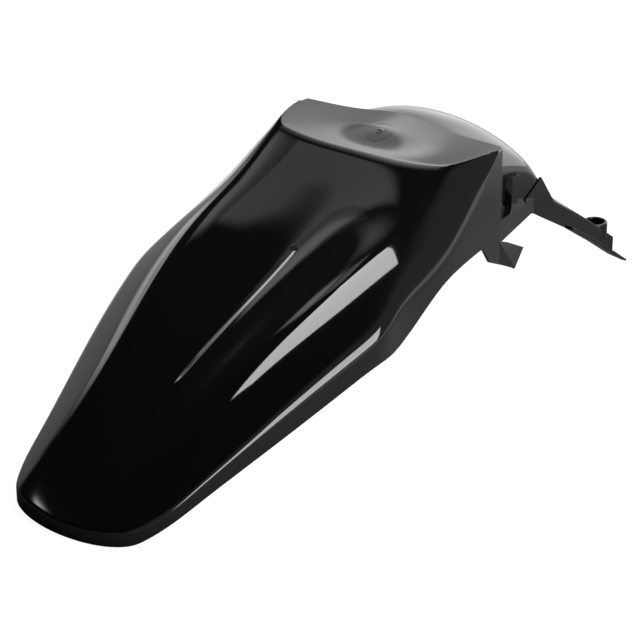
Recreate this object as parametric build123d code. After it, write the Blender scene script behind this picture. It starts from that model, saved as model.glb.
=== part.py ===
from build123d import *
import math
import os

# Driving dimensions in millimetres. Stations run forwards from the tail tip, heights up from the floor
# that the fender rests on, widths out from the middle plane. The bike's front is +Y, its right side +X.
wall = 2.6
shell_length = 444.0
tail_height = 12.0
tail_half_width = 66.0
tail_bow = 3.5
tail_corner = 12.0
kink_at = 244.0
kink_half_width = 124.0
front_half_width = 102.3
ridge_round = 8.0
edge_round = 3.0
seat_at = 381.0
seat_height = 191.4
seat_rim_rise = 8.6
seat_climb = 0.157
nose_rise = 6.0
nose_at = 388.0
nose_run = 33.0
nose_half_width = 38.0
lip_bottom_at_kink = 86.5
wall_bottom = 122.0
bead_rear = 124.0
bead_front = 291.0
bead_width = 6.5
bead_height = 1.2
gate_at = 412.0
gate_ring_radius = 13.0
gate_ring_width = 0.7
gate_ring_depth = 0.4
gate_nub_radius = 3.0
gate_nub_height = 0.8
gate_pit_radius = 1.3
dome_half_width = 79.0
dome_crown = 205.4
dome_side_height = 165.0
rail_half_width = 80.0
channel_end = 680.0
ledge_rear_height = 134.0
ledge_front_at = 531.0
ledge_front_height = 120.5
band_bottom = 107.5
pad_at = 496.0
pad_length = 23.0
pad_face = 10.0
pad_depth = 5.0
pad_height = 34.0
foot_rear = 598.0
foot_overhang = 3.0
foot_width = 9.0
foot_thickness = 3.0
foot_tip_thickness = 2.0
tip_at = 706.0
boss_at = 664.0
boss_spacing = 136.0
boss_radius = 11.5
boss_top = 52.0
boss_cup_radius = 8.5
boss_floor = 40.0
bolt_hole_radius = 4.25
hook_rear = 409.0
hook_bottom = 81.0
hook_bend = 20.0

# Room that a cutting body runs past the skin it cuts, so that no two faces lie on each other.
clear = 6.0
sky = 300.0
below = -40.0


def guide(*knots):
    """Smooth curve through (station, value) knots: a natural cubic spline, straight past its ends."""
    s = [k[0] for k in knots]
    v = [k[1] for k in knots]
    n = len(s)
    gap = [s[i + 1] - s[i] for i in range(n - 1)]
    rise = [(v[i + 1] - v[i]) / gap[i] for i in range(n - 1)]
    scale = [1.0] * n
    curve = [0.0] * n
    for i in range(1, n - 1):
        scale[i] = 2 * (s[i + 1] - s[i - 1]) - gap[i - 1] ** 2 / scale[i - 1] * (i > 1)
        load = 6 * (rise[i] - rise[i - 1])
        curve[i] = load - gap[i - 1] / scale[i - 1] * curve[i - 1] * (i > 1)
    bend = [0.0] * n
    for i in range(n - 2, 0, -1):
        bend[i] = (curve[i] - gap[i] * bend[i + 1]) / scale[i]

    def at(y):
        if y <= s[0]:
            return v[0] + (y - s[0]) * (rise[0] - gap[0] * bend[1] / 6)
        if y >= s[-1]:
            return v[-1] + (y - s[-1]) * (rise[-1] + gap[-1] * bend[-2] / 6)
        i = max(j for j in range(n - 1) if s[j] <= y)
        p = y - s[i]
        q = s[i + 1] - y
        line = (v[i] * q + v[i + 1] * p) / gap[i]
        cubic = bend[i] * q * (q * q / gap[i] - gap[i]) + bend[i + 1] * p * (p * p / gap[i] - gap[i])
        return line + cubic / 6

    return at


def ease(t):
    """Smooth step from 0 to 1, level at both ends."""
    t = min(max(t, 0.0), 1.0)
    return t * t * (3 - 2 * t)


# Guide curves of the tail: its middle line, the two soft ridges that it is dished between, how steeply
# the flared sides fall away outside them, and the outline that cuts the flares off.
middle = guide((0, tail_height), (62, 41), (bead_rear, 68.8), (200, 100), (bead_front, 135.5), (340, 162.5),
               (seat_at, seat_height), (seat_at + 65, seat_height + 42))
ridge_half_width = guide((0, 52), (60, 55), (122, 58), (200, 71), (kink_at, 80), (295, 86), (392, 88),
                         (446, 91))
ridge_rise = guide((0, 0.5), (60, 3.5), (122, 10.5), (200, 16.5), (kink_at, 18.5), (295, 17), (340, 9.5),
                   (392, 3), (446, 1))
flare_slope = guide((0, 0.38), (60, 0.48), (157, 0.47), (kink_at, 0.55), (295, 0.71), (340, 1.02),
                    (371, 1.35), (392, 1.75), (446, 4.0))
edge_knots = [(30, tail_half_width + 1), (68, 79.4), (122, 95.4), (kink_at - 26, 120.4),
              (kink_at, kink_half_width), (kink_at + 24, 121.4), (338, 117.6), (394, 110.5),
              (shell_length, front_half_width)]
edge_half_width = guide(*edge_knots)

# Guide curves of the dome and of the channel that runs down from it: the crown, and the height at which
# its rounded top meets its upright sides.
dome_middle = guide((shell_length, dome_crown), (462, dome_crown - 1), (484, 200), (506, 191), (535, 166),
                    (560, 131), (582, 108), (610, 87), (645, 62), (channel_end, 38))
dome_side = guide((shell_length, dome_side_height), (486, 156), (510, 150), (533, 139), (552, 119),
                  (580, 98), (610, 80), (645, 57), (channel_end, 33))

# Side-view outlines of the front as (station, height): the rail's lower edge from the notch to the tip, the
# underside of the foot that follows it, and the gusset. The rail bends at one place.
rail_bend = (641, 41.3)
rail_edge = [(ledge_front_at, band_bottom), (564, 88.3), (600, 67.5), rail_bend, (tip_at, 0)]
foot_edge = [(foot_rear, 68.8), rail_bend, (tip_at - 4, 0)]
gusset_edge = [(514, ledge_front_height), (545, 136), (568, 106), (530, 112)]


def tail_skin(x, y):
    """Height of the tail's top: dished up from the middle to each ridge, then falling along the flare."""
    crest = ridge_half_width(y)
    dish = ridge_rise(y) * ease(abs(x) / crest)
    outside = max(abs(x) - crest, 0.0)
    fall = flare_slope(y) * (math.hypot(outside, ridge_round) - ridge_round)
    return middle(y) + dish - fall


def seat_skin(x, y):
    """Height of the seat floor: a shallow dish with the nose of the dome swelling up in the middle."""
    across = min(abs(x) / front_half_width, 1.0)
    climb = seat_climb * (y - seat_at) * (1 - across ** 2)
    nose = nose_rise * ease((y - nose_at) / nose_run) * math.exp(-(x / nose_half_width) ** 2)
    return seat_height + seat_rim_rise * across ** 2 + climb + nose


def lowered(skin, depth):
    """The same skin moved inwards by a depth, measured square to the surface."""
    step = 0.5

    def inside(x, y):
        slope_x = (skin(x + step, y) - skin(x - step, y)) / (2 * step)
        slope_y = (skin(x, y + step) - skin(x, y - step)) / (2 * step)
        return skin(x, y) - depth * math.hypot(1, slope_x, slope_y)

    return inside


def skin_body(skin, level, stations, widths):
    """Solid between a skin and a flat level, lofted through one cross-section per station."""
    typical = widths(stations[len(stations) // 2])
    pace = [w / typical[-1] for w in typical]
    knots = [-p for p in reversed(pace)] + [0.0] + pace
    sections = []
    for y in stations:
        across = [-w for w in reversed(widths(y))] + [0.0] + widths(y)
        top = [Vector(x, y, skin(x, y)) for x in across]
        left = Vector(across[0], y, level)
        right = Vector(across[-1], y, level)
        curve = Edge.make_spline(top, parameters=knots)
        base = Wire.make_polygon([top[-1], right, left, top[0]], close=False)
        sections.append(Face(Wire([curve, *base.edges()])))
    return loft(sections)


def tail_widths(y):
    """Where a tail section is drawn: three steps out to the ridge, and three on past the outline."""
    crest = ridge_half_width(y)
    flare = edge_half_width(y) + clear - crest
    return [crest * part for part in (0.3, 0.65, 1)] + [crest + flare * part for part in (0.2, 0.5, 1)]


def seat_widths(y):
    return [16, 34, 54, 76, front_half_width, front_half_width + 35]


def plan_outline(inset):
    """Outline of the shell from above, from front right round the tail to front left, moved inwards."""
    knots = [(w, y) for y, w in reversed(edge_knots)]
    knots += [(tail_half_width - tail_corner, tail_bow + 9), (tail_half_width - 38, tail_bow), (0.0, 0.0)]
    right = []
    for i, (x, y) in enumerate(knots[:-1]):
        ahead = knots[max(i - 1, 0)]
        behind = knots[i + 1]
        run = math.hypot(ahead[0] - behind[0], ahead[1] - behind[1])
        right.append((x - inset * (ahead[1] - behind[1]) / run, y + inset * (ahead[0] - behind[0]) / run))
    right[0] = (front_half_width - inset, shell_length)
    left = [(-x, y) for x, y in reversed(right)]
    return right + [(0.0, inset)] + left


def plan_prism(inset, front):
    """Upright body of the plan outline, from below the floor to above the seat, run forwards to a front."""
    points = plan_outline(inset)
    edges = [Spline(*points)]
    if front > shell_length:
        edges.append(Polyline(points[-1], (points[-1][0], front), (points[0][0], front), points[0]))
    else:
        edges.append(Line(points[-1], points[0]))
    return Pos(0, 0, below) * extrude(make_face(edges), sky - below)


def side_prism(edges, half_width):
    """Body of a closed side-view outline run across the fender both ways."""
    return extrude(Plane.YZ * make_face(edges), half_width, both=True)


def both_sides(body):
    """A body and its mirror image on the other side of the middle plane."""
    return body + mirror(body, about=Plane.YZ)


def shell_body(depth, front):
    """The rear shell as a filled body: plan outline, tail skin and seat skin, all moved in by a depth."""
    tail_stations = [-16, 30, 75, 120, 165, 205, 245, 285, 320, 350, 378, 405, front + clear]
    seat_stations = [seat_at + run for run in (-29, 0, 15, 29, 45, 58)] + [front + clear]
    tail = skin_body(lowered(tail_skin, depth), below, tail_stations, tail_widths)
    over_seat = skin_body(lowered(seat_skin, depth), sky, seat_stations, seat_widths)
    return (plan_prism(depth, front) & tail) - over_seat


def lower_edge():
    """Side view of what lies above the shell's lower edge: the lip, its level run at the kink, the wall."""
    lip = [(-clear, -2.25), (0, 0), (56, 21), (112, 41.9), (kink_at - 35, 78.2),
           (kink_at - 4, lip_bottom_at_kink), (kink_at + 18, lip_bottom_at_kink + 1.5), (kink_at + 50, 98.4),
           (kink_at + 92, wall_bottom - 4.5), (kink_at + 120, wall_bottom), (hook_rear, wall_bottom)]
    front = [lip[-1], (hook_rear + 16, hook_bottom + 22), (shell_length + clear, hook_bottom + 10),
             (shell_length + clear, sky), (-clear, sky), lip[0]]
    return side_prism([Spline(*lip), Polyline(*front)], kink_half_width + clear)


def rear_shell():
    """Tail, flared sides, turned-down lip, side walls and seat floor as one open-bottomed wall."""
    riser = Pos(0, shell_length, sky / 2) * Box(2 * dome_half_width, 2 * wall, sky)
    shell = shell_body(0.0, shell_length) - (shell_body(wall, shell_length + clear) - riser)
    rims = [e for e in shell.edges() if is_outer_rim(e.bounding_box())]
    return fillet(rims, edge_round) & lower_edge()


def is_outer_rim(box):
    """True for the rounded edges: the rim round the tail, the seat line and the corners they end in."""
    reach = max(box.max.X, -box.min.X)
    round_the_tail = box.min.Y < wall / 2 and box.min.Z > 0
    seat_line = box.size.X > 2 * front_half_width and abs(box.min.Y - seat_at) < wall / 2
    corner = reach > front_half_width and box.min.Y > seat_at and max(box.size.X, box.size.Z) < 1
    return round_the_tail or seat_line or corner


def dome_body(inset, rear, front):
    """Dome and channel as a filled body: half-elliptic sections on upright sides."""
    half = dome_half_width - inset
    count = 12
    sections = []
    for i in range(count + 1):
        y = rear + (front - rear) * i / count
        slope = dome_middle(y + 1) - dome_middle(y)
        side = dome_side(y) - inset
        arch_height = dome_middle(y) - inset * math.hypot(1, slope) - side
        section = Plane(origin=(0, y, side), x_dir=(1, 0, 0), z_dir=(0, -1, 0))
        arch = EllipticalCenterArc((0, 0), half, arch_height, 0, arc_size=180)
        skirt = Polyline((-half, 0), (-half, below - side), (half, below - side), (half, 0))
        sections.append(section * make_face([arch, skirt]))
    return loft(sections)


def ledge_body(inset, rear):
    """Ledge beside the dome and the band below it, as a filled body that narrows forwards."""
    front = ledge_front_at + 3
    rear_half = front_half_width
    narrowing = (rear_half - rail_half_width) / (front - rear)
    shift = inset * math.hypot(1, narrowing)
    outline = [(rear_half - shift, rear), (rail_half_width - shift, front),
               (shift - rail_half_width, front), (shift - rear_half, rear)]
    plan = Pos(0, 0, below) * extrude(make_face(Polyline(*outline, close=True)), sky - below)
    profile = [(rear, ledge_rear_height - inset), (front, ledge_front_height - inset),
               (front, below), (rear, below)]
    return plan & side_prism(Polyline(*profile, close=True), rear_half)


def channel_edge():
    """Side view of what lies above the front's lower edge: the ledge's band, then down the rail."""
    rear = shell_length - 20
    band = [(rear, band_bottom + 5.5), (shell_length + 11, band_bottom + 4.5)]
    return side_prism(Polyline(*band, *rail_edge, (tip_at, sky), (rear, sky), close=True), kink_half_width)


def side_pleats():
    """Upright pad and leaning gusset that stiffen the dome's side above the ledge."""
    inner = dome_half_width - pad_depth
    outer = dome_half_width + pad_depth
    pad = [(inner, pad_at - pad_length / 2), (outer, pad_at - pad_face / 2), (outer, pad_at + pad_face / 2),
           (inner, pad_at + pad_length / 2)]
    upright = Pos(0, 0, ledge_front_height - 1) * extrude(make_face(Polyline(*pad, close=True)), pad_height)
    gusset = extrude(Plane.YZ * make_face(Polyline(*gusset_edge, close=True)), wall)
    return upright + Pos(dome_half_width - wall / 2, 0, 0) * gusset


def rail_foot():
    """Thin plate along the rail's lower edge that runs on to a pointed tip on the floor."""
    outer = rail_half_width + foot_overhang
    inner = outer - foot_width
    outline = [(outer, foot_rear), (outer, channel_end), (rail_half_width, tip_at), (inner, tip_at),
               (inner, foot_rear)]
    plan = Pos(0, 0, below) * extrude(make_face(Polyline(*outline, close=True)), sky)
    top = [(y, z + foot_thickness) for y, z in reversed(foot_edge[:-1])]
    profile = [*foot_edge, (tip_at, 0), (tip_at, foot_tip_thickness), *top]
    return plan & side_prism(Polyline(*profile, close=True), kink_half_width)


def bolt_boss():
    """Cup-shaped boss at the end of a rail, and the bore for it: a cup with the bolt hole in its floor."""
    place = Pos(boss_spacing / 2, boss_at, 0)
    body = place * Pos(0, 0, boss_floor - wall) * extrude(Circle(boss_radius), boss_top - boss_floor + wall)
    cup = place * Pos(0, 0, boss_floor) * extrude(Circle(boss_cup_radius), sky)
    hole = place * Pos(0, 0, below) * extrude(Circle(bolt_hole_radius), sky)
    return body, cup + hole


def hook():
    """Lug below the side wall's front corner: a plate in line with the wall, and one bent in from it."""
    rear_at = shell_length - 2
    top = (rear_at, hook_bottom + 35)
    foot = (rear_at + 28, hook_bottom)
    in_line = [top, foot, (rear_at, hook_bottom + 14)]
    rear = extrude(Plane.YZ * make_face(Polyline(*in_line, close=True)), wall)
    lean = math.degrees(math.atan2(foot[1] - top[1], foot[0] - top[0]))
    length = math.dist(top, foot)
    turned = [(0, 0), (length, 0), (length + 13, 29.6), (19, 11)]
    front = extrude(Plane.YZ * make_face(Polyline(*turned, close=True)), wall)
    bent = Pos(wall, *top) * Rot(lean, 0, 0) * Rot(0, -hook_bend, 0) * Pos(-wall, 0, 0) * front
    return Pos(front_half_width - wall, 0, 0) * (rear + bent)


def bead():
    """Narrow raised bead on the middle line, pointed towards the tail and round at its front end."""
    half = bead_width / 2
    nose = bead_front - half
    rim = [Line((0, bead_rear), (half, nose)), RadiusArc((half, nose), (-half, nose), -half),
           Line((-half, nose), (0, bead_rear))]
    plan = Pos(0, 0, below) * extrude(make_face(rim), sky - below)
    stations = [bead_rear - 20, 160, 205, 250, bead_front + 20]
    raised = skin_body(lambda x, y: tail_skin(x, y) + bead_height, below, stations, lambda y: [8, 20])
    floor = skin_body(lambda x, y: tail_skin(x, y) - wall / 2, below, stations, lambda y: [8, 20])
    return (plan & raised) - floor


def gate_mark():
    """Witness of the mould's filling point on the seat floor: a small nub, and the ring groove round it."""
    place = Pos(0, gate_at, 0)
    top = seat_skin(0, gate_at)
    nub = place * Pos(0, 0, top - wall / 2) * extrude(Circle(gate_nub_radius), wall / 2 + gate_nub_height)
    pit = place * Pos(0, 0, top) * extrude(Circle(gate_pit_radius), sky)
    ring = Circle(gate_ring_radius + gate_ring_width / 2) - Circle(gate_ring_radius - gate_ring_width / 2)
    stations = [gate_at - 24, gate_at - 8, gate_at + 8, gate_at + 24]
    above = skin_body(lowered(seat_skin, gate_ring_depth), sky, stations, lambda y: [9, 19])
    return nub, pit + (place * extrude(ring, sky) & above)


rear = rear_shell()
room_rear = shell_length - wall - 1
room = dome_body(wall, room_rear, channel_end + clear) + ledge_body(wall, room_rear)
front = dome_body(0.0, shell_length - wall / 2, channel_end) + ledge_body(0.0, shell_length - wall)
front = (front & channel_edge()) - room
boss, bore = bolt_boss()
nub, gate_cut = gate_mark()
fender = (rear - room) + front + bead() + nub - gate_cut
fender = fender + both_sides(side_pleats() + rail_foot() + boss + hook()) - both_sides(bore)
box = fender.bounding_box()
fender = Pos(0, -(box.min.Y + box.max.Y) / 2, -box.min.Z) * fender
os.makedirs("parts", exist_ok=True)
export_step(fender, "parts/rear_fender.step")
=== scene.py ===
# %% [markdown]
# # A moulded motorcycle rear fender in gloss black plastic
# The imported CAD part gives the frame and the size. Its mesh is made of loose flat triangles, which break up
# the reflections on a gloss surface. So every skin is drawn again here as a fine grid, from guide curves like
# those of the CAD part. Lengths are millimetres and run forwards from the tail tip until a piece is made.

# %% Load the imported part
import math

import bmesh
import bpy
import numpy as np
from mathutils import Matrix


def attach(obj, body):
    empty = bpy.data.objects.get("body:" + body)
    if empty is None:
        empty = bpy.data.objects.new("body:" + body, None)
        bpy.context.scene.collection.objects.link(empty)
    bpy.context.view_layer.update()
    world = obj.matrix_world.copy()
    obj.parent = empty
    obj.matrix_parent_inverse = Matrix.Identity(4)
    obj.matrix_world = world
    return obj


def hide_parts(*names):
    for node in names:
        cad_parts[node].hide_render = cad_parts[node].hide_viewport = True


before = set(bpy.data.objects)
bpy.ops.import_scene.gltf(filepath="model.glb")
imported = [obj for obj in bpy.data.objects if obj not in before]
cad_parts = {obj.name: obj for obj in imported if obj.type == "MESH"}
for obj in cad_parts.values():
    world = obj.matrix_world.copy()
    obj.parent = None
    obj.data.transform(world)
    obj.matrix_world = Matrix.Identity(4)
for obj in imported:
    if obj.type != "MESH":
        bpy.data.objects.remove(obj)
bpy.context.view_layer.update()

# %% [markdown]
# ## Guide curves
# The tail is dished between two soft ridges and flares down outside them. It could be sculpted by hand, but
# on gloss black every wobble of the hand would show in the reflections. Instead each guide gives one measure
# of the section along the fender, as a smooth spline through a few stations.

# %% Shared sizes and the spline behind every guide
MM = 0.001
WALL = 2.6
TO_MIDDLE = 353.0
FRONT = 444.0
FRONT_HALF_WIDTH = 102.3
SEAT_AT = 381.0
SEAT_HEIGHT = 191.4
DOME_END = 680.0


def guide(*knots):
    """Natural cubic spline through (station, value) knots, carried on straight past both ends."""
    station, value = np.array(knots, float).T
    gap = np.diff(station)
    rise = np.diff(value) / gap
    system = np.diag(np.r_[1, 2 * (gap[:-1] + gap[1:]), 1])
    system += np.diag(np.r_[gap[:-1], 0], -1) + np.diag(np.r_[0, gap[1:]], 1)
    bend = np.linalg.solve(system, np.r_[0, 6 * np.diff(rise), 0])
    first = rise[0] - gap[0] * bend[1] / 6
    last = rise[-1] + gap[-1] * bend[-2] / 6

    def at(y):
        y = np.asarray(y, float)
        inside = np.clip(y, station[0], station[-1])
        i = np.clip(np.searchsorted(station, inside, "right") - 1, 0, len(gap) - 1)
        past, left, width = inside - station[i], station[i + 1] - inside, gap[i]
        before = bend[i] * left * (left * left / width - width)
        after = bend[i + 1] * past * (past * past / width - width)
        straight = np.minimum(y - station[0], 0) * first + np.maximum(y - station[-1], 0) * last
        return (value[i] * left + value[i + 1] * past) / width + (before + after) / 6 + straight

    return at


# %% Guides of the tail and the dome
middle = guide((0, 12), (62, 41), (124, 68.8), (200, 100), (291, 135.5), (340, 162.5),
               (SEAT_AT, SEAT_HEIGHT), (446, 233.4))
ridge_half_width = guide((0, 52), (60, 55), (122, 58), (200, 71), (244, 80), (295, 86), (392, 88), (446, 91))
ridge_rise = guide((0, 0.5), (60, 3.5), (122, 10.5), (200, 16.5), (244, 18.5), (295, 17), (340, 9.5),
                   (392, 3), (446, 1))
flare_slope = guide((0, 0.38), (60, 0.48), (157, 0.47), (244, 0.55), (295, 0.71), (340, 1.02),
                    (371, 1.35), (392, 1.75), (446, 4))
dome_middle = guide((FRONT, 205.4), (462, 204.4), (484, 200), (506, 191), (535, 166), (560, 131),
                    (582, 108), (610, 87), (645, 62), (DOME_END, 38))
dome_side = guide((FRONT, 165), (486, 156), (510, 150), (533, 139), (552, 119), (580, 98), (610, 80),
                  (645, 57), (DOME_END, 33))
print("tail's middle at the front", round(float(middle(FRONT)), 1), "mm")
print("dome's crown at the front", round(float(dome_middle(FRONT)), 1), "mm")

# %% [markdown]
# ## The top skin as one height field
# Tail and seat floor meet in a rounded line across the fender. They could be two meshes with a bevel between
# them, but a bevel pinches where its line bends. Here both are height fields, and the lower of the two shows,
# blended over a millimetre. The bead along the tail and the mark of the mould's gate, where the plastic ran
# in, are small heights added on top.

# %% Tail and seat floor
RIDGE_ROUND = 20.0
RIDGE_INSET = 7.0
SEAT_DISH = 8.6
SEAT_PITCH = 0.157
NOSE_HEIGHT = 6.0
NOSE_HALF_WIDTH = 38.0
NOSE_FOOT, NOSE_TOP = 388.0, 421.0


def ease(t):
    """Smooth step from 0 to 1, level at both ends."""
    t = np.clip(t, 0, 1)
    return t * t * (3 - 2 * t)


def grow(y, start, end):
    """Smooth step from 0 at one station to 1 at another."""
    return ease((y - start) / (end - start))


def tail_height(x, y):
    """Middle height, plus the dish rising to the ridge, minus the flare falling away outside it."""
    crest = ridge_half_width(y)
    outside = np.maximum(np.abs(x) - crest + RIDGE_INSET, 0)
    fall = flare_slope(y) * (np.hypot(outside, RIDGE_ROUND) - RIDGE_ROUND)
    return middle(y) + ridge_rise(y) * ease(np.abs(x) / crest) - fall


def seat_height(x, y):
    """Shallow dish, rising forwards in the middle, with the nose of the dome swelling up out of it."""
    across = np.minimum(np.abs(x) / FRONT_HALF_WIDTH, 1)
    nose = NOSE_HEIGHT * grow(y, NOSE_FOOT, NOSE_TOP) * np.exp(-((x / NOSE_HALF_WIDTH) ** 2))
    return SEAT_HEIGHT + SEAT_DISH * across**2 + SEAT_PITCH * (y - SEAT_AT) * (1 - across**2) + nose


print("seat floor in the middle of its front edge", round(float(seat_height(0.0, FRONT)), 1), "mm")

# %% Bead, gate mark and the whole top skin
BEAD_START, BEAD_END = 124.0, 288.0
BEAD_NOSE = 287.75
BEAD_HALF_WIDTH = 3.25
BEAD_HEIGHT = 1.2
BEAD_FLANK = 2.2
BEAD_FADE = 30.0
GATE_AT = 412.0
GROOVE_RADIUS, GROOVE_HALF_WIDTH, GROOVE_DEPTH = 13.0, 1.0, 0.08
NUB_RADIUS, NUB_FLANK, NUB_HEIGHT = 3.4, 1.6, 0.25
PIT_RADIUS, PIT_FLANK, PIT_DEPTH = 1.7, 1.0, 0.5
SEAT_LINE_BLEND = 1.0


def bead_height(x, y):
    """Raised bead: full height inside a half-width that grows from a point, with sloped flanks."""
    half = BEAD_HALF_WIDTH * np.clip((y - BEAD_START) / (BEAD_END - BEAD_START), 0, 1)
    reach = half - np.hypot(x, np.maximum(y - BEAD_NOSE, 0))
    return BEAD_HEIGHT * ease(reach / BEAD_FLANK + 0.5) * grow(y, BEAD_START, BEAD_START + BEAD_FADE)


def gate_height(x, y):
    """Ring groove, a bell curve over the radius, round a small nub with a pit in its top."""
    radius = np.hypot(x, y - GATE_AT)
    groove = GROOVE_DEPTH * np.exp(-(((radius - GROOVE_RADIUS) / GROOVE_HALF_WIDTH) ** 2))
    nub = NUB_HEIGHT * ease((NUB_RADIUS - radius) / NUB_FLANK)
    return nub - groove - PIT_DEPTH * ease((PIT_RADIUS - radius) / PIT_FLANK)


def skin_height(x, y):
    """Rounded lower of tail and seat: the minimum, less a square where they lie closer than the blend."""
    tail = tail_height(x, y) + bead_height(x, y)
    seat = seat_height(x, y) + gate_height(x, y)
    near = np.maximum(SEAT_LINE_BLEND - np.abs(tail - seat), 0)
    return np.minimum(tail, seat) - near**2 / (4 * SEAT_LINE_BLEND)


print("top skin at the gate's groove", round(float(skin_height(GROOVE_RADIUS, GATE_AT)), 1), "mm")

# %% [markdown]
# ## The outline and its rim
# Seen from above the rim is one smooth line from the front corner round the tail. A bevel could round it, but
# the real rounding grows from the tail to the seat, where it holds the long light along the side. So the top
# skin turns down through an arc of its own radius at every station, tangent to the skin and to the lip.

# %% Outline and lower edge
RIM = [(0, 0), (29, 2.4), (48, 7.6), (59, 14), (66.5, 25), (73.5, 42), (80.6, 68), (95.4, 122), (120.4, 218),
       (124, 244), (121.4, 268), (117.6, 338), (110.5, 394), (FRONT_HALF_WIDTH, FRONT)]
LIP_END = 409.0
LIP_END_HEIGHT = 122.0
RIM_SAMPLES = 6000
ROUND_END_RUN, ROUND_END_ROWS = 112.0, 57
SIDE_ROWS = 84
CLOSE_FROM = 37.0
CLOSE_ROWS = np.array([34, 28, 22.5, 17.5, 13.5, 10, 7.5, 5.5, 4, 2.9, 2.1, 1.5, 1, 0.6, 0.3, 0])


def rim_curve():
    """Splines of x and y over the length along the rim, run through the tip so that it is round there."""
    right = np.array(RIM, float)
    whole = np.vstack([right[:0:-1] * (-1, 1), right])
    run = np.r_[0, np.cumsum(np.hypot(*np.diff(whole, axis=0).T))]
    run -= run[len(right) - 1]
    return guide(*zip(run, whole[:, 0])), guide(*zip(run, whole[:, 1])), run[-1]


rim_x, rim_y, rim_length = rim_curve()
lip_edge = guide((-6, -2.25), (0, 0), (56, 21), (112, 41.9), (209, 78.2), (240, 86.5), (262, 88), (294, 98.4),
                 (336, 117.5), (364, 122), (LIP_END, LIP_END_HEIGHT))


def lower_edge(y):
    """Lip's lower edge, and in front of it the slanting edge that runs down to the lug."""
    slant = np.interp(y, [LIP_END, 425, 450], [LIP_END_HEIGHT, 103, 91])
    return np.where(y < LIP_END, lip_edge(np.minimum(y, LIP_END)), slant)


def rim_stations():
    """Distances along the rim from the tip: close on the round end and at the seat line, wider between."""
    run = np.linspace(0, rim_length, RIM_SAMPLES)
    gap = tail_height(rim_x(run), rim_y(run)) - seat_height(rim_x(run), rim_y(run))
    meet = run[np.argmax(gap > 0)]
    round_end = np.linspace(0, ROUND_END_RUN, ROUND_END_ROWS)
    side = np.linspace(ROUND_END_RUN, meet - CLOSE_FROM, SIDE_ROWS)[1:]
    return np.r_[round_end, side, meet - CLOSE_ROWS], meet


stations, seat_meets_rim = rim_stations()
print("rim", round(2 * float(rim_length)), "mm long")
print("seat line meets it at", round(float(rim_y(seat_meets_rim)), 1), "mm")

# %% Rounded rim and lip
EDGE_ROUND = 4.0
SIDE_ROUND, SIDE_GROWS = 11.0, (40, 230)
SEAT_SIDE_ROUND, SEAT_SIDE_GROWS = 14.0, (255, 315)
ROUNDING_ENDS = (395, 425)
RIM_STRAIGHTENS = (380, 430)
ARC_STEPS = 8
LIP_STEPS = 6
PROBE = 0.05
REPEATS = 6


def rim_directions(run, y):
    """Level direction out of the rim: square to its line, turning to straight sideways beside the seat."""
    along = np.stack([np.gradient(rim_x(run), run), np.gradient(y, run)])
    out = np.stack([along[1], -along[0]]) / np.hypot(*along)
    straight = grow(y, *RIM_STRAIGHTENS)
    out = np.stack([out[0] * (1 - straight) + straight, out[1] * (1 - straight)])
    out[:, 0] = (0, -1)
    return out


def rim_rounding(y):
    """Radius of the rim: grows along the side and again beside the seat, and is small at both ends."""
    extra = SIDE_ROUND * grow(y, *SIDE_GROWS) + SEAT_SIDE_ROUND * grow(y, *SEAT_SIDE_GROWS)
    return EDGE_ROUND + extra * (1 - grow(y, *ROUNDING_ENDS))


def rim_arc(run):
    """Rows of (x, y, z) from the top skin over the rounded rim and down the lip, one row per station.

    The arc's start is moved in from the rim by the tangent length, radius / tan(half the angle between
    skin and lip). The skin's tilt there is not known before, so both are found by a few repeats.
    """
    x, y = rim_x(run), rim_y(run)
    out = rim_directions(run, y)
    rounding = rim_rounding(y)
    start_x, start_y = x, y
    for _ in range(REPEATS):
        inner = skin_height(start_x - PROBE * out[0], start_y - PROBE * out[1])
        outer = skin_height(start_x + PROBE * out[0], start_y + PROBE * out[1])
        tilt = np.arctan((inner - outer) / (2 * PROBE))
        inset = rounding / np.tan((math.pi / 2 + tilt) / 2) * np.cos(tilt)
        start_x, start_y = x - out[0] * inset, y - out[1] * inset
    top = skin_height(start_x, start_y)
    centre = top - rounding * np.cos(tilt)
    turn = (math.pi / 2 - tilt)[:, None] * np.linspace(1, 0, ARC_STEPS + 1)
    reach = rounding[:, None] * (np.cos(turn) - 1)
    height = centre[:, None] + rounding[:, None] * np.sin(turn)
    arc = np.stack([x[:, None] + out[0][:, None] * reach, y[:, None] + out[1][:, None] * reach, height], -1)
    arc[:, 0] = np.stack([start_x, start_y, top], -1)
    lip = np.repeat(arc[:, -1:], LIP_STEPS, 1)
    lip[:, :, 2] += (lower_edge(y) - arc[:, -1, 2])[:, None] * np.linspace(0, 1, LIP_STEPS + 1)[1:]
    return np.concatenate([arc, lip], 1)


print("rounding of the rim beside the seat", round(float(rim_rounding(SEAT_AT)), 1), "mm")

# %% [markdown]
# ## The shell as one grid
# Tail, seat floor, rim and lip are one moulded skin, so they are one grid, whose rows run from the left lip
# over the top to the right lip. Separate meshes would show a seam in the reflections wherever they meet. Near
# the seat the rows bend back in their middle, so that one of them lies on the seat line and keeps it clean.

# %% Rows and columns of the shell
BEAD_SHARE, BEAD_COLUMNS = 0.055, 23
NEAR_BEAD_SHARE, NEAR_BEAD_COLUMNS = 0.14, 13
WIDE_COLUMNS, WIDE_POWER = 39, 0.95
ROWS_BEND_FROM = 190.0
CORNER_POWER = 8
SEAT_LINE_LIMITS = (360.0, 446.0)
HALVINGS = 40


def seat_line(x):
    """Station where tail and seat floor have one height, found by halving for every width at once."""
    low, high = [np.full_like(x, limit) for limit in SEAT_LINE_LIMITS]
    for _ in range(HALVINGS):
        half = (low + high) / 2
        over = tail_height(x, half) > seat_height(x, half)
        low, high = np.where(over, low, half), np.where(over, half, high)
    return (low + high) / 2


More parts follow.
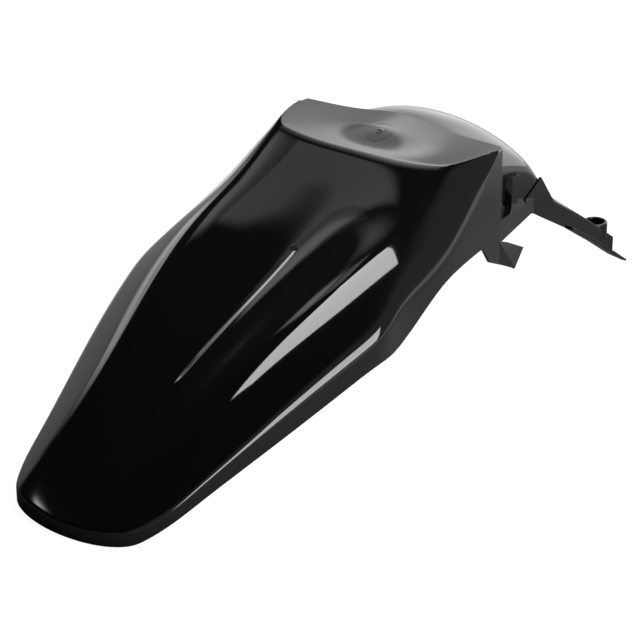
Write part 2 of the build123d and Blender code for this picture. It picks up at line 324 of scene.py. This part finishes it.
def columns_across():
    """Shares of the half width from left to right: fine over the bead, then wider towards the rim."""
    bead = np.linspace(0, BEAD_SHARE, BEAD_COLUMNS)
    near = np.linspace(BEAD_SHARE, NEAR_BEAD_SHARE, NEAR_BEAD_COLUMNS)[1:]
    wide = NEAR_BEAD_SHARE + (1 - NEAR_BEAD_SHARE) * np.linspace(0, 1, WIDE_COLUMNS)[1:] ** WIDE_POWER
    half = np.r_[bead, near, wide]
    return np.r_[-half[:0:-1], half]


def rows_ahead():
    """Shares of the seat floor's length from the seat line to the front: close at the line, then even."""
    ahead = np.r_[0.3, 0.6, 1, 1.5, 2.1, 2.9, 4, 5.2, np.arange(6.4, 62.6, 0.8), 62.6]
    return ahead / ahead[-1]


def shell_grid():
    """Rows of the tail bent towards the seat line, then rows of the seat floor from it to the front."""
    on_seat = rows_ahead()
    across = columns_across()
    side = rim_arc(np.r_[stations, seat_meets_rim + (rim_length - seat_meets_rim) * on_seat])
    last_tail = len(stations) - 1
    seat = slice(last_tail + 1, None)
    end_x, end_y = side[:, 0, 0], side[:, 0, 1]
    line = seat_line(across * end_x[last_tail])
    line += end_y[last_tail] - line[-1]
    bend = grow(end_y, ROWS_BEND_FROM, end_y[last_tail])
    x = across * end_x[:, None]
    y = end_y[:, None] - bend[:, None] * (end_y[last_tail] - line)
    y[seat] = line + (end_y[seat, None] - line) * on_seat[:, None]
    y[seat] -= (y[seat, -1] - end_y[seat])[:, None] * np.abs(across) ** CORNER_POWER
    top = np.stack([x, y, skin_height(x, y)], -1)
    top[:, -1], top[:, 0] = side[:, 0], side[:, 0] * (-1, 1, 1)
    left = side[:, :0:-1] * (-1, 1, 1)
    return np.concatenate([left, top, side[:, 1:]], 1)


shell_points = shell_grid()
print("shell grid", shell_points.shape[:2], "lowest", round(float(shell_points[..., 2].min()), 2), "mm")

# %% [markdown]
# ## Making pieces
# A grid becomes a mesh of quads with whole numpy arrays. Points that fall on each other are welded. The wall
# could be drawn as a second skin, but Solidify keeps it at one thickness by itself. A small Bevel rounds the
# cut edges, because a moulded edge always catches some light.

# %% Helpers that turn grids into pieces
WELD = 0.02
CREASE = math.radians(40)
EDGE_SEGMENTS = 2


def grid_quads(rows, columns, start):
    """Corner numbers of the quads between neighbouring rows and columns of a grid."""
    n = start + np.arange(rows * columns).reshape(rows, columns)
    return np.stack([n[:-1, :-1], n[:-1, 1:], n[1:, 1:], n[1:, :-1]], -1).reshape(-1, 4)


def welded_mesh(name, points, quads):
    """Mesh in metres about the fender's middle, with doubled and loose points taken out."""
    mesh = bpy.data.meshes.new(name)
    mesh.from_pydata(((points - (0, TO_MIDDLE, 0)) * MM).tolist(), [], quads.tolist())
    bm = bmesh.new()
    bm.from_mesh(mesh)
    bmesh.ops.remove_doubles(bm, verts=bm.verts, dist=WELD * MM)
    bmesh.ops.delete(bm, geom=[v for v in bm.verts if not v.link_faces], context="VERTS")
    bm.to_mesh(mesh)
    bm.free()
    mesh.shade_smooth()
    return mesh


def make_piece(name, grids, wall=0.0, edge=0.5, keep=None):
    """Piece from grids of (x, y, z) millimetres: welded, walled inwards and with rounded cut edges."""
    starts = np.cumsum([0] + [grid.shape[0] * grid.shape[1] for grid in grids])
    points = np.concatenate([grid.reshape(-1, 3) for grid in grids])
    quads = np.concatenate([grid_quads(*grid.shape[:2], start) for grid, start in zip(grids, starts)])
    if keep is not None:
        quads = quads[keep(points[quads].mean(1))]
    piece = bpy.data.objects.new(name, welded_mesh(name, points, quads))
    bpy.context.scene.collection.objects.link(piece)
    if wall:
        thick = piece.modifiers.new("wall", "SOLIDIFY")
        thick.thickness = wall * MM
        thick.offset = -1
        thick.use_even_offset = True
    if edge:
        soft = piece.modifiers.new("edge", "BEVEL")
        soft.width = edge * MM
        soft.segments = EDGE_SEGMENTS
        soft.limit_method = "ANGLE"
        soft.angle_limit = CREASE
        soft.harden_normals = True
    return piece


def mirrored(grid):
    """The same grid on the left side, with its columns turned round so that its faces still look outwards."""
    return grid[:, ::-1] * (-1, 1, 1)


pieces = [make_piece("tail_shell", [shell_points], WALL)]
print("tail shell", len(pieces[0].data.polygons), "faces")

# %% [markdown]
# ## Dome and channel
# In front of the seat a dome falls away into a flat channel between two rails. A bent cylinder would come
# close, but the dome flattens as it falls. So each station has its own half ellipse, between a side height
# and a crown that two guides give, standing on upright sides.

# %% Dome and channel
DOME_HALF_WIDTH = 79.0
NOTCH = 531.0
NOTCH_HALF_GAP = 0.2
ROWS_BEHIND_NOTCH, ROWS_BEFORE_NOTCH = 60, 90
ARCH_POINTS, SKIRT_POINTS = 61, 9
LEDGE_END = 534.0
LEDGE_HEIGHTS = [134, 120.5]
CUP_OUT, CUP_AT = 68.0, 664.0
CUP_CLEARING = 9.6


def channel_bottom(y):
    """Lower edge of the front: the ledge's height behind the notch, then the falling rail."""
    ledge = np.interp(y, [FRONT, LEDGE_END], LEDGE_HEIGHTS) - WALL / 2
    rail = np.interp(y, [NOTCH, 564, 600, 641, 706], [107.5, 88.3, 67.5, 41.3, 0])
    return np.where(y < NOTCH, ledge, rail)


def dome_grid():
    """Half ellipses of one width between a side height and a crown, on upright sides, by station."""
    behind = np.linspace(FRONT - WALL / 2, NOTCH - NOTCH_HALF_GAP, ROWS_BEHIND_NOTCH)
    before = np.linspace(NOTCH + NOTCH_HALF_GAP, DOME_END, ROWS_BEFORE_NOTCH)
    y = np.r_[behind, before][:, None]
    turn = np.linspace(-math.pi / 2, math.pi / 2, ARCH_POINTS)
    side, crown = dome_side(y), dome_middle(y)
    arch_x = DOME_HALF_WIDTH * np.sin(turn) + 0 * y
    arch_z = side + (crown - side) * np.cos(turn)
    skirt_z = side + (channel_bottom(y) - side) * np.linspace(1, 0, SKIRT_POINTS)[:-1]
    skirt_x = np.full_like(skirt_z, DOME_HALF_WIDTH)
    x = np.concatenate([-skirt_x, arch_x, skirt_x], 1)
    z = np.concatenate([skirt_z, arch_z, skirt_z[:, ::-1]], 1)
    return np.stack([x, y + 0 * x, z], -1)


def outside_cups(centre):
    """True for the faces that lie outside the two bolt cups."""
    return np.hypot(np.abs(centre[:, 0]) - CUP_OUT, centre[:, 1] - CUP_AT) > CUP_CLEARING


pieces.append(make_piece("dome_channel", [dome_grid()], WALL, keep=outside_cups))
print("dome and channel", len(pieces[-1].data.polygons), "faces")

# %% [markdown]
# ## Ledges and riser
# A ledge with a band under it joins the dome's foot to the side wall, and a riser closes the step from the
# seat floor to the dome. Both are plain sheets that could be planes pulled into place. As grids they take
# their edges from the same measures as their neighbours, so no gap opens between them.

# %% Ledges, bands and riser
LEDGE_ROOT = 78.0
LEDGE_TIP = 80.0
RISER_INSET = 0.1
LEDGE_ROWS, RISER_COLUMNS = 40, 81
SHEET_STEPS = 7


def ledge_grid():
    """Level run out from the dome's foot to a narrowing edge, then a band down to its lower edge."""
    ends = [FRONT - WALL, LEDGE_END]
    y = np.linspace(*ends, LEDGE_ROWS)[:, None]
    edge = np.interp(y, ends, [FRONT_HALF_WIDTH, LEDGE_TIP])
    top = np.interp(y, ends, LEDGE_HEIGHTS)
    bottom = np.interp(y, [424, 455, NOTCH, LEDGE_END], [113, 112, 107.5, 106])
    out = np.linspace(0, 1, SHEET_STEPS)
    x = np.concatenate([LEDGE_ROOT + (edge - LEDGE_ROOT) * out, edge + 0 * out[1:]], 1)
    z = np.concatenate([top + 0 * out, top + (bottom - top) * out[1:]], 1)
    return np.stack([x, y + 0 * x, z], -1)


def riser_grid():
    """Upright sheet from a millimetre under the dome's arch up into the seat floor."""
    half = DOME_HALF_WIDTH - RISER_INSET
    x = np.linspace(-half, half, RISER_COLUMNS)
    side, crown = dome_side(FRONT), dome_middle(FRONT)
    arch = side + (crown - side) * np.sqrt(1 - (x / DOME_HALF_WIDTH) ** 2)
    seat = skin_height(x, np.full_like(x, FRONT)) - WALL / 2
    z = (arch - 1) + (np.maximum(seat, arch) - arch + 1) * np.linspace(0, 1, SHEET_STEPS)[:, None]
    return np.stack([x + 0 * z, np.full_like(z, FRONT - RISER_INSET), z], -1)[:, ::-1]


ledge = ledge_grid()
pieces.append(make_piece("ledges", [ledge, mirrored(ledge)], WALL))
pieces.append(make_piece("riser", [riser_grid()], WALL - RISER_INSET, edge=0))
print("ledges and riser", sum(len(p.data.polygons) for p in pieces[-2:]), "faces")

# %% [markdown]
# ## Small moulded details
# Beside the dome are a pad and a gusset, and at the front end cups for the bolt heads. They are small bodies
# that could be cut from blocks. An outline carried straight, or a profile carried once round, gives the same
# bodies with only the faces that they need.

# %% Pads, gussets and bolt cups
SIDE_OF_DOME = 77.7


def prism(outline, low, high):
    """Closed body: an outline carried from a low to a high level, each end closed to its middle point."""
    flat = np.array(outline + outline[:1], float)
    mid = np.repeat(np.mean(flat[:-1], 0)[None], len(flat), 0)
    rings = [(mid, low), (flat, low), (flat, high), (mid, high)]
    return np.stack([np.column_stack([ring, np.full(len(flat), level)]) for ring, level in rings])


def from_side(grid, offset):
    """Outline given as (station, height) instead of (x, y), carried along the width from an offset."""
    return np.stack([grid[..., 2] + offset, grid[..., 0], grid[..., 1]], -1)


def turned(profile, x, y, steps=40):
    """Closed profile of (radius, height) points carried once round an upright axis."""
    radius, z = np.array(profile, float).T
    angle = np.linspace(0, 2 * math.pi, steps + 1)[:, None]
    return np.stack([x + radius * np.cos(angle), y + radius * np.sin(angle), z + 0 * angle], -1)


pad = prism([(74, 484.5), (84, 491), (84, 501), (74, 507.5)], 119.5, 153.5)
gusset = from_side(prism([(514, 120.5), (530, 112), (568, 106), (545, 136)], 0, WALL), SIDE_OF_DOME)
cup_profile = [(4.25, 37.4), (11.5, 37.4), (11.5, 51.4), (10.9, 52), (9.1, 52), (8.5, 51.4), (8.5, 40),
               (4.25, 40), (4.25, 37.4)]
cup = turned(cup_profile, CUP_OUT, CUP_AT)
print("pad", pad.shape[:2], "gusset", gusset.shape[:2], "cup", cup.shape[:2])

# %% [markdown]
# ## Feet and lugs
# Pointed feet run down under the rails to the ground, and bent lugs hang below the side walls. The lug could
# be one folded sheet. Two flat plates, the front one turned about the slanting bend, keep the fold as crisp
# as it is on the moulding.

# %% Feet and lugs
LUG_STATION, LUG_HEIGHT = 442.0, 116.0
LUG_LEAN = math.radians(-51.3)
LUG_BEND = math.radians(-20)
FOOT_INNER = 74.0


def foot_grid():
    """Closed strip under the rail: four corners of its section carried down the slope to the ground."""
    y = np.array([598, 620, 641, 660, 680, 706.0])
    low = np.interp(y, [598, 641, 702, 706], [68.8, 41.3, 0, 0])
    high = np.interp(y, [598, 641, 706], [71.8, 44.3, 2])
    outer = np.interp(y, [598, 680, 706], [83, 83, 80])
    inner = np.full_like(y, FOOT_INNER)
    x = np.stack([outer, outer, inner, inner, outer], 1)
    z = np.stack([low, high, high, low, low], 1)
    rows = np.stack([x, y[:, None] + 0 * x, z], -1)
    ends = rows[[0, -1], :4].mean(1)[:, None].repeat(5, 1)
    return np.concatenate([ends[:1], rows, ends[1:]])[:, ::-1]


def bent(grid):
    """The lug's front plate: turned inwards about the slanting bend on the wall's outer face."""
    u, v, w = grid[..., 0], grid[..., 1], grid[..., 2] - WALL
    x = w * math.cos(LUG_BEND) + v * math.sin(LUG_BEND)
    v = v * math.cos(LUG_BEND) - w * math.sin(LUG_BEND)
    y = u * math.cos(LUG_LEAN) - v * math.sin(LUG_LEAN)
    z = u * math.sin(LUG_LEAN) + v * math.cos(LUG_LEAN)
    return np.stack([FRONT_HALF_WIDTH + x, LUG_STATION + y, LUG_HEIGHT + z], -1)


lug_rear_outline = [(LUG_STATION, LUG_HEIGHT), (LUG_STATION, 95), (470, 81)]
lug_rear = from_side(prism(lug_rear_outline, 0, WALL), FRONT_HALF_WIDTH - WALL)
lug_front = bent(prism([(0, 0), (44.8, 0), (57.8, 29.6), (19, 11)], 0, WALL))
right = [pad, gusset, cup, foot_grid(), lug_rear, lug_front]
pieces.append(make_piece("lugs_and_feet", right + [mirrored(grid) for grid in right], edge=0.4))
print("lugs and feet", len(pieces[-1].data.polygons), "faces")

# %% [markdown]
# ## Gloss black plastic
# The fender is moulded in one material, polypropylene coloured right through, against a polished mould. Its
# colour could carry marks and scratches, but a new moulding has none: what the eye sees is a near-black body
# under a smooth gloss skin, whose long reflections wave very faintly, as a cooling wall sinks a little.

# %% Material
MOULD_WAVE = 35.7
WAVE_DEPTH = 0.4


def linear(code):
    """Linear colour of an sRGB hex code."""
    c = np.array([int(code[i:i + 2], 16) for i in (1, 3, 5)]) / 255
    return tuple(np.where(c <= 0.04045, c / 12.92, ((c + 0.055) / 1.055) ** 2.4)) + (1.0,)


def add(tree, kind, inputs=None, **settings):
    """Node of a kind: its settings by name, and for each input a value or another node's output."""
    node = tree.nodes.new("ShaderNode" + kind)
    for setting, choice in settings.items():
        setattr(node, setting, choice)
    for socket, source in (inputs or {}).items():
        if isinstance(source, bpy.types.NodeSocket):
            tree.links.new(source, node.inputs[socket])
        else:
            node.inputs[socket].default_value = source
    return node


# Moulded polypropylene: deep black, with sharp but weak reflections that grow strong at a flat angle.
plastic = bpy.data.materials.new("gloss black polypropylene")
plastic.use_nodes = True
tree = plastic.node_tree
shader = tree.nodes["Principled BSDF"]
shader.inputs["Base Color"].default_value = linear("#040405")
shader.inputs["Roughness"].default_value = 0.05
shader.inputs["IOR"].default_value = 1.49
spot = add(tree, "TexCoord").outputs["Object"]
waves = add(tree, "TexNoise", {"Vector": spot, "Scale": 1 / (MOULD_WAVE * MM), "Detail": 1.0}).outputs["Fac"]
bump = add(tree, "Bump", {"Height": waves, "Strength": 0.05, "Distance": WAVE_DEPTH * MM})
tree.links.new(bump.outputs["Normal"], shader.inputs["Normal"])
for piece in pieces:
    piece.data.materials.append(plastic)
    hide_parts("rear_fender")
    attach(piece, "root")
print("material", plastic.name, "on", len(pieces), "pieces")

# %% [markdown]
# ## Studio lights
# Gloss black shows only what it reflects, so each light stands where the fender mirrors it. One large lamp
# would wash over the whole skin. Near cards of a chosen size light one place each instead: a crisp overhead
# softbox for the long light on the right ridge, a softbox on the right for the band on the rim, soft cards on
# the left for the left ridge and flare, and soft panels overhead for the upper tail, the seat floor's front
# and the tail's corner. Between them the room stays dark, which keeps the dish black.

# %% Helpers that place the lights
ACROSS, AHEAD = (1, 0, 0), (0, 1, 0)
DOWN, TO_THE_LEFT, TO_THE_RIGHT = (0, 0, -1), (-1, 0, 0), (1, 0, 0)
FADE_LIMITS = {"From Min": 1.0, "To Min": 0.0}


def placed(name, data, centre, along, facing, scale=(1, 1, 1)):
    """Thing at a place in millimetres, with its first axis along one way and its face turned to another."""
    along, back = np.array(along, float), -np.array(facing, float)
    thing = bpy.data.objects.new(name, data)
    turn = Matrix(np.stack([along, np.cross(back, along), back], 1))
    thing.matrix_world = Matrix.LocRotScale((np.array(centre) - (0, TO_MIDDLE, 0)) * MM, turn, scale)
    thing.visible_camera = False
    bpy.context.scene.collection.objects.link(thing)
    return thing


def glow(name, radiance):
    """See-through glowing paint, with the node that holds its strength."""
    paint = bpy.data.materials.new(name + " glow")
    paint.use_nodes = True
    tree = paint.node_tree
    tree.nodes.remove(tree.nodes["Principled BSDF"])
    lamp = add(tree, "Emission", {"Strength": radiance})
    clear = add(tree, "BsdfTransparent")
    both = add(tree, "AddShader", {0: lamp.outputs[0], 1: clear.outputs[0]})
    tree.links.new(both.outputs[0], tree.nodes["Material Output"].inputs["Surface"])
    return paint, lamp


def panel(name, corners, paint, centre, along, facing, scale=(1, 1, 1)):
    """Flat glowing sheet with given corners, seen only in reflections and casting no shadow."""
    mesh = bpy.data.meshes.new(name)
    mesh.from_pydata([(u, v, 0) for u, v in corners], [], [range(len(corners))])
    mesh.materials.append(paint)
    thing = placed(name, mesh, centre, along, facing, scale)
    thing.visible_shadow = False
    return thing


def soft_card(name, centre, along, facing, length, width, radiance, hard):
    """Square of two units, scaled to size, whose glow fades from a hard middle share to its edges."""
    paint, lamp = glow(name, radiance)
    tree = paint.node_tree
    axes = add(tree, "SeparateXYZ", {0: add(tree, "TexCoord").outputs["Object"]})
    fades = []
    for axis, high in zip(axes.outputs, (radiance, 1.0)):
        reach = add(tree, "Math", {0: axis}, operation="ABSOLUTE").outputs[0]
        limits = {**FADE_LIMITS, "Value": reach, "From Max": hard, "To Max": high}
        fades.append(add(tree, "MapRange", limits, interpolation_type="SMOOTHSTEP").outputs[0])
    strength = add(tree, "Math", {0: fades[0], 1: fades[1]}, operation="MULTIPLY")
    tree.links.new(strength.outputs[0], lamp.inputs["Strength"])
    square = [(-1, -1), (1, -1), (1, 1), (-1, 1)]
    return panel(name, square, paint, centre, along, facing, (length / 2 * MM, width / 2 * MM, 1))


def softbox(name, centre, along, facing, length, width, radiance):
    """Rectangular lamp with crisp edges, whose power is worked out from its size and radiance."""
    light = bpy.data.lights.new(name, "AREA")
    light.shape = "RECTANGLE"
    light.size = length * MM
    light.size_y = width * MM
    light.energy = 4 * light.size * light.size_y * radiance
    return placed(name, light, centre, along, facing)


# %% Lights
CARD_HEIGHT = 330
LEFT_PLANE = -300
RIDGE_LIGHT = np.array([(-5, 105), (-36, 305), (52, 350), (138, 352), (28, 128)]) * MM

ridge_paint, _ = glow("overhead softbox", 10.0)
# Name, centre, way of the long side, facing, length, width, radiance and a soft card's share of full glow.
lights = [
    panel("overhead softbox", RIDGE_LIGHT, ridge_paint, (0, 0, CARD_HEIGHT), ACROSS, DOWN),
    softbox("right softbox", (1200, 320, 620), AHEAD, TO_THE_LEFT, 800, 860, 8.0),
    soft_card("left strip", (LEFT_PLANE, 280, 221), AHEAD, TO_THE_RIGHT, 420, 60, 2.5, hard=0.4),
    soft_card("left card", (LEFT_PLANE, 250, 110), AHEAD, TO_THE_RIGHT, 620, 240, 0.7, hard=0.6),
    soft_card("rear panel", (-110, 352, CARD_HEIGHT), ACROSS, DOWN, 96, 66, 0.75, hard=0.5),
    soft_card("rear left panel", (-194, 352, CARD_HEIGHT), ACROSS, DOWN, 120, 104, 1.3, hard=0.3),
    soft_card("tail panel", (-250, 0, CARD_HEIGHT), ACROSS, DOWN, 26, 18, 8.0, hard=0.4),
    soft_card("nose panel", (-90, 500, CARD_HEIGHT), ACROSS, DOWN, 260, 230, 2.2, hard=0.1),
]
print("lights", ", ".join(light.name for light in lights))

# %% [markdown]
# ## Floor
# The fender stands on a pale table. A table that is white to every ray would also light the black lip from
# below. So its own grey takes the light and the shadow, and a glow that only the camera sees lifts it to
# white. In the fender's reflections the table turns white further out, and darker on the left of the tail.

# %% Floor
# Lengths in metres from the fender's middle.
FLOOR_HALF = 6.0
FLOOR_GREY = linear("#959595")[0]
FLOOR_LIFT = 0.9
WHITE_FROM, WHITE_AT = 0.5, 1.0
SHADE_AT, SHADE_FROM = -0.05, 0.15
LEFT_SHADE = -0.27


def table_paint():
    """Grey paint whose glow and shade depend on the kind of ray and, for reflections, on the place."""
    paint = bpy.data.materials.new("white studio table")
    paint.use_nodes = True
    tree = paint.node_tree
    ray = add(tree, "LightPath").outputs
    spot = add(tree, "TexCoord").outputs["Object"]
    distance = add(tree, "VectorMath", {0: spot}, operation="LENGTH").outputs["Value"]
    far = add(tree, "MapRange", {"Value": distance, "From Min": WHITE_FROM, "From Max": WHITE_AT})
    white = add(tree, "Math", {0: far.outputs[0], 1: ray["Is Glossy Ray"]}, operation="MULTIPLY")
    lift_parts = {0: ray["Is Camera Ray"], 1: FLOOR_LIFT, 2: white.outputs[0]}
    lift = add(tree, "Math", lift_parts, operation="MULTIPLY_ADD")
    sideways = add(tree, "SeparateXYZ", {0: spot}).outputs["X"]
    shade_limits = {"Value": sideways, "From Min": SHADE_AT, "From Max": SHADE_FROM}
    shade = add(tree, "MapRange", {**shade_limits, "To Min": LEFT_SHADE, "To Max": 0.0})
    grey_parts = {0: ray["Is Glossy Ray"], 1: shade.outputs[0], 2: FLOOR_GREY}
    grey = add(tree, "Math", grey_parts, operation="MULTIPLY_ADD")
    face = tree.nodes["Principled BSDF"]
    face.inputs["Roughness"].default_value = 0.9
    face.inputs["Emission Color"].default_value = linear("#ffffff")
    tree.links.new(grey.outputs[0], face.inputs["Base Color"])
    tree.links.new(lift.outputs[0], face.inputs["Emission Strength"])
    return paint


floor_mesh = bpy.data.meshes.new("floor")
floor_corners = np.array([(-1, -1, 0), (1, -1, 0), (1, 1, 0), (-1, 1, 0)]) * FLOOR_HALF
floor_mesh.from_pydata(floor_corners.tolist(), [], [(0, 1, 2, 3)])
floor_mesh.materials.append(table_paint())
floor = bpy.data.objects.new("floor", floor_mesh)
bpy.context.scene.collection.objects.link(floor)
print("floor", [round(v, 1) for v in floor.dimensions])

# %% [markdown]
# ## Room
# What the cards leave open shows the room. A picture of a studio could be wrapped round the scene, but a few
# ramps of the looking direction say the same: a white sweep in front on the left, which the seat floor and
# the dome mirror, a low bright wall straight ahead, and a dim wall on the right. The camera sees white.

# %% World
# Each ramp has a measure of the looking direction, its start and end, and the strengths there. The ramps of
# one light are multiplied, and the lights are added.
AHEAD_SHARE = 1.3
RAMP_LIMITS = ("From Min", "From Max", "To Min", "To Max")
ROOM = {
    "white sweep": [("Z", 0.3, 0.7, 0.8, 2.1), ("Z", 0.86, 0.76, 0.0, 1.0),
                    ("ahead", 0.0, 0.15, 0.0, 1.0), ("X", 0.1, -0.2, 0.0, 1.0)],
    "low wall ahead": [("X", -0.4, 0.1, 1.2, 2.6), ("Z", 0.6, 0.4, 0.0, 1.0), ("Y", 0.74, 0.9, 0.0, 1.0)],
    "dim right wall": [("X", 0.1, 0.5, 0.03, 0.32)],
}

world = bpy.data.worlds.new("dark studio with a white sweep in front")
bpy.context.scene.world = world
world.use_nodes = True
sky = world.node_tree
way = add(sky, "SeparateXYZ", {0: add(sky, "TexCoord").outputs["Generated"]}).outputs
ahead = add(sky, "Math", {0: way["Y"], 1: AHEAD_SHARE, 2: way["X"]}, operation="MULTIPLY_ADD")
measures = {"X": way["X"], "Y": way["Y"], "Z": way["Z"], "ahead": ahead.outputs[0]}
room = 0.0
for ramps in ROOM.values():
    strength = 1.0
    for measure, *ends in ramps:
        limits = {"Value": measures[measure], **dict(zip(RAMP_LIMITS, ends))}
        ramp = add(sky, "MapRange", limits, interpolation_type="SMOOTHSTEP")
        strength = add(sky, "Math", {0: strength, 1: ramp.outputs[0]}, operation="MULTIPLY").outputs[0]
    room = add(sky, "Math", {0: room, 1: strength}, operation="ADD").outputs[0]
seen = add(sky, "LightPath").outputs["Is Camera Ray"]
shown = add(sky, "Math", {0: room, 1: seen}, operation="MAXIMUM")
sky.links.new(shown.outputs[0], sky.nodes["Background"].inputs["Strength"])
sky.nodes["Background"].inputs["Color"].default_value = linear("#ffffff")
print("world", world.name, "with", ", ".join(ROOM))

# %% [markdown]
# ## Camera
# The view is from behind, from the right and from above. A camera could be moved until the picture fits. Here
# it is worked out from the azimuth, the elevation and the distance that fit the photograph, and the lens from
# the focal length in pixels of a picture 640 pixels wide.

# %% Camera
AZIMUTH = math.radians(36.4)
ELEVATION = math.radians(24.8)
# Metres.
DISTANCE = 2.101
TARGET = np.array([0, -0.0255, 0.0575])
# Millimetres.
SENSOR_WIDTH = 36.0
FOCAL_PIXELS = 2500
PICTURE_PIXELS = 640

camera = bpy.data.objects.new("camera", bpy.data.cameras.new("camera"))
bpy.context.scene.collection.objects.link(camera)
bpy.context.scene.camera = camera
level = math.cos(ELEVATION)
outwards = np.array([math.sin(AZIMUTH) * level, -math.cos(AZIMUTH) * level, math.sin(ELEVATION)])
camera.location = TARGET + DISTANCE * outwards
camera.rotation_euler = (math.pi / 2 - ELEVATION, 0, AZIMUTH)
camera.data.sensor_width = SENSOR_WIDTH
camera.data.lens = SENSOR_WIDTH * FOCAL_PIXELS / PICTURE_PIXELS
camera.data.dof.use_dof = False
bpy.context.scene.view_settings.view_transform = "Standard"
print("camera at", [round(v, 3) for v in camera.location])
